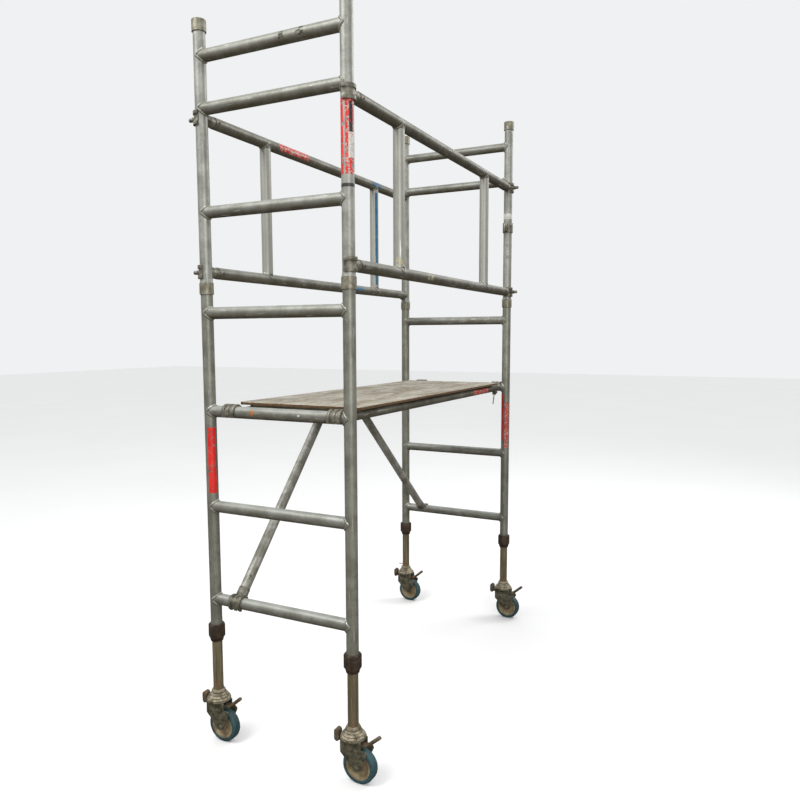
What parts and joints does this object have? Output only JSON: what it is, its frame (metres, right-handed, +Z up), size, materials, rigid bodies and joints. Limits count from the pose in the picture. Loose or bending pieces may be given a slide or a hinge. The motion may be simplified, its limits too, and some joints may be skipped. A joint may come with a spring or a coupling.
{
  "type": "mobile tower scaffold",
  "caption": "Mobile tower scaffold: ladder end frames with a hooked-on platform, guardrails, struts and braked swivel castors on telescoping legs.",
  "frame": {"origin": "middle of the footprint, on the floor", "axes": "+X along the tower from the front end to the rear end, +Y to the left, +Z up"},
  "size_m": [1.944, 0.8738, 2.963],
  "materials": {
    "frame_tube": "dull, scuffed and weathered tube",
    "rung_tube": "worn bright on top, dull underneath",
    "casting": "rough casting, stained",
    "deck_board": "weathered plywood with a grey, streaky top",
    "leg_tube": "stained, fluted tube",
    "nut": "dark brown with worn edges",
    "castor_steel": "dirty zinc-plated steel",
    "wheel_hub": "dusty moulded hub",
    "tyre": "matte, dusty teal",
    "brake_steel": "rusty plated steel",
    "pin_steel": "dull plated steel"
  },
  "bodies": {
    "tower": {"deck_screws": "pin_steel", "front_lower_posts": "frame_tube", "front_lower_rungs": "rung_tube", "front_upper_posts": "frame_tube", "front_upper_rungs": "rung_tube", "left_guardrail_frame": "frame_tube", "left_guardrail_jaws": "casting", "leg_clamp_rings": "pin_steel", "lower_post_sockets": "frame_tube", "platform_cross_members": "frame_tube", "platform_deck": "deck_board", "platform_hooks": "casting", "platform_side_beams": "frame_tube", "post_band_clamp": "pin_steel", "rear_lower_posts": "frame_tube", "rear_lower_rungs": "rung_tube", "rear_upper_posts": "frame_tube", "rear_upper_rungs": "rung_tube", "right_guardrail_frame": "frame_tube", "right_guardrail_jaws": "casting", "strut_brackets": "casting", "upper_post_sockets": "frame_tube"},
    "front_left_leg": {"front_left_leg": "leg_tube", "front_left_swivel_head": "castor_steel"},
    "front_left_leg_nut": {"front_left_leg_nut": "nut"},
    "front_left_swivel": {"front_left_fork": "castor_steel"},
    "front_left_wheel": {"front_left_wheel_hub": "wheel_hub", "front_left_tyre": "tyre"},
    "front_left_brake": {"front_left_brake": "brake_steel"},
    "front_right_leg": {"front_right_leg": "leg_tube", "front_right_swivel_head": "castor_steel"},
    "front_right_leg_nut": {"front_right_leg_nut": "nut"},
    "front_right_swivel": {"front_right_fork": "castor_steel"},
    "front_right_wheel": {"front_right_wheel_hub": "wheel_hub", "front_right_tyre": "tyre"},
    "front_right_brake": {"front_right_brake": "brake_steel"},
    "rear_left_leg": {"rear_left_leg": "leg_tube", "rear_left_swivel_head": "castor_steel"},
    "rear_left_leg_nut": {"rear_left_leg_nut": "nut"},
    "rear_left_swivel": {"rear_left_fork": "castor_steel"},
    "rear_left_wheel": {"rear_left_wheel_hub": "wheel_hub", "rear_left_tyre": "tyre"},
    "rear_left_brake": {"rear_left_brake": "brake_steel"},
    "rear_right_leg": {"rear_right_leg": "leg_tube", "rear_right_swivel_head": "castor_steel"},
    "rear_right_leg_nut": {"rear_right_leg_nut": "nut"},
    "rear_right_swivel": {"rear_right_fork": "castor_steel"},
    "rear_right_wheel": {"rear_right_wheel_hub": "wheel_hub", "rear_right_tyre": "tyre"},
    "rear_right_brake": {"rear_right_brake": "brake_steel"},
    "left_lower_lock_pin": {"left_lower_lock_pin": "pin_steel"},
    "left_upper_lock_pin": {"left_upper_lock_pin": "pin_steel"},
    "left_wind_lock": {"left_wind_lock": "pin_steel"},
    "right_lower_lock_pin": {"right_lower_lock_pin": "pin_steel"},
    "right_upper_lock_pin": {"right_upper_lock_pin": "pin_steel"},
    "right_wind_lock": {"right_wind_lock": "pin_steel"},
    "front_strut": {"front_strut": "frame_tube", "front_strut_claw": "casting"},
    "rear_strut": {"rear_strut": "frame_tube", "rear_strut_claw": "casting"}
  },
  "joints": [
    {"name": "front_left_leg_slide", "type": "slide", "parent": "tower", "child": "front_left_leg", "axis": [0, 0, 1], "range_m": [-0.15, 0.2]},
    {"name": "front_left_leg_nut_turn", "type": "hinge", "parent": "tower", "child": "front_left_leg_nut", "pos_m": [-0.92, 0.35593, 0.442], "axis": [0, 0, 1], "range_deg": [0, 180]},
    {"name": "front_left_swivel_turn", "type": "hinge", "parent": "front_left_leg", "child": "front_left_swivel", "pos_m": [-0.92, 0.35593, 0.176], "axis": [0, 0, 1], "continuous": true},
    {"name": "front_left_wheel_roll", "type": "hinge", "parent": "front_left_swivel", "child": "front_left_wheel", "pos_m": [-0.92, 0.32593, 0.07], "axis": [1, 0, 0], "continuous": true},
    {"name": "front_left_brake_press", "type": "hinge", "parent": "front_left_swivel", "child": "front_left_brake", "pos_m": [-0.92, 0.35593, 0.158], "axis": [1, 0, 0], "range_deg": [0, 13]},
    {"name": "front_right_leg_slide", "type": "slide", "parent": "tower", "child": "front_right_leg", "axis": [0, 0, 1], "range_m": [-0.15, 0.2]},
    {"name": "front_right_leg_nut_turn", "type": "hinge", "parent": "tower", "child": "front_right_leg_nut", "pos_m": [-0.92, -0.31407, 0.442], "axis": [0, 0, 1], "range_deg": [0, 180]},
    {"name": "front_right_swivel_turn", "type": "hinge", "parent": "front_right_leg", "child": "front_right_swivel", "pos_m": [-0.92, -0.31407, 0.176], "axis": [0, 0, 1], "continuous": true},
    {"name": "front_right_wheel_roll", "type": "hinge", "parent": "front_right_swivel", "child": "front_right_wheel", "pos_m": [-0.92, -0.34407, 0.07], "axis": [1, 0, 0], "continuous": true},
    {"name": "front_right_brake_press", "type": "hinge", "parent": "front_right_swivel", "child": "front_right_brake", "pos_m": [-0.92, -0.31407, 0.158], "axis": [1, 0, 0], "range_deg": [0, 13]},
    {"name": "rear_left_leg_slide", "type": "slide", "parent": "tower", "child": "rear_left_leg", "axis": [0, 0, 1], "range_m": [-0.15, 0.2]},
    {"name": "rear_left_leg_nut_turn", "type": "hinge", "parent": "tower", "child": "rear_left_leg_nut", "pos_m": [0.92, 0.35593, 0.442], "axis": [0, 0, 1], "range_deg": [0, 180]},
    {"name": "rear_left_swivel_turn", "type": "hinge", "parent": "rear_left_leg", "child": "rear_left_swivel", "pos_m": [0.92, 0.35593, 0.176], "axis": [0, 0, 1], "continuous": true},
    {"name": "rear_left_wheel_roll", "type": "hinge", "parent": "rear_left_swivel", "child": "rear_left_wheel", "pos_m": [0.92, 0.32593, 0.07], "axis": [1, 0, 0], "continuous": true},
    {"name": "rear_left_brake_press", "type": "hinge", "parent": "rear_left_swivel", "child": "rear_left_brake", "pos_m": [0.92, 0.35593, 0.158], "axis": [1, 0, 0], "range_deg": [0, 13]},
    {"name": "rear_right_leg_slide", "type": "slide", "parent": "tower", "child": "rear_right_leg", "axis": [0, 0, 1], "range_m": [-0.15, 0.2]},
    {"name": "rear_right_leg_nut_turn", "type": "hinge", "parent": "tower", "child": "rear_right_leg_nut", "pos_m": [0.92, -0.31407, 0.442], "axis": [0, 0, 1], "range_deg": [0, 180]},
    {"name": "rear_right_swivel_turn", "type": "hinge", "parent": "rear_right_leg", "child": "rear_right_swivel", "pos_m": [0.92, -0.31407, 0.176], "axis": [0, 0, 1], "continuous": true},
    {"name": "rear_right_wheel_roll", "type": "hinge", "parent": "rear_right_swivel", "child": "rear_right_wheel", "pos_m": [0.92, -0.34407, 0.07], "axis": [1, 0, 0], "continuous": true},
    {"name": "rear_right_brake_press", "type": "hinge", "parent": "rear_right_swivel", "child": "rear_right_brake", "pos_m": [0.92, -0.31407, 0.158], "axis": [1, 0, 0], "range_deg": [0, 13]},
    {"name": "left_lower_lock_pin_pull", "type": "slide", "parent": "tower", "child": "left_lower_lock_pin", "axis": [0, 1, 0], "range_m": [0, 0.012], "stiffness_N_per_m": 800, "springref_m": -0.004},
    {"name": "left_upper_lock_pin_pull", "type": "slide", "parent": "tower", "child": "left_upper_lock_pin", "axis": [0, 1, 0], "range_m": [0, 0.012], "stiffness_N_per_m": 800, "springref_m": -0.004},
    {"name": "left_wind_lock_swing", "type": "hinge", "parent": "tower", "child": "left_wind_lock", "pos_m": [0.874, 0.24193, 1.3895], "axis": [0, 1, 0], "range_deg": [0, 60], "stiffness_Nm_per_rad": 0.4, "springref_deg": -22.92},
    {"name": "right_lower_lock_pin_pull", "type": "slide", "parent": "tower", "child": "right_lower_lock_pin", "axis": [0, -1, 0], "range_m": [0, 0.012], "stiffness_N_per_m": 800, "springref_m": -0.004},
    {"name": "right_upper_lock_pin_pull", "type": "slide", "parent": "tower", "child": "right_upper_lock_pin", "axis": [0, -1, 0], "range_m": [0, 0.012], "stiffness_N_per_m": 800, "springref_m": -0.004},
    {"name": "right_wind_lock_swing", "type": "hinge", "parent": "tower", "child": "right_wind_lock", "pos_m": [0.874, -0.25807, 1.3895], "axis": [0, 1, 0], "range_deg": [0, 60], "stiffness_Nm_per_rad": 0.4, "springref_deg": -22.92},
    {"name": "front_strut_lift", "type": "hinge", "parent": "tower", "child": "front_strut", "pos_m": [-0.125, 0.28593, 1.404], "axis": [0, 1, 0], "range_deg": [0, 14]},
    {"name": "rear_strut_lift", "type": "hinge", "parent": "tower", "child": "rear_strut", "pos_m": [0.125, 0.28593, 1.404], "axis": [0, -1, 0], "range_deg": [0, 14]}
  ]
}
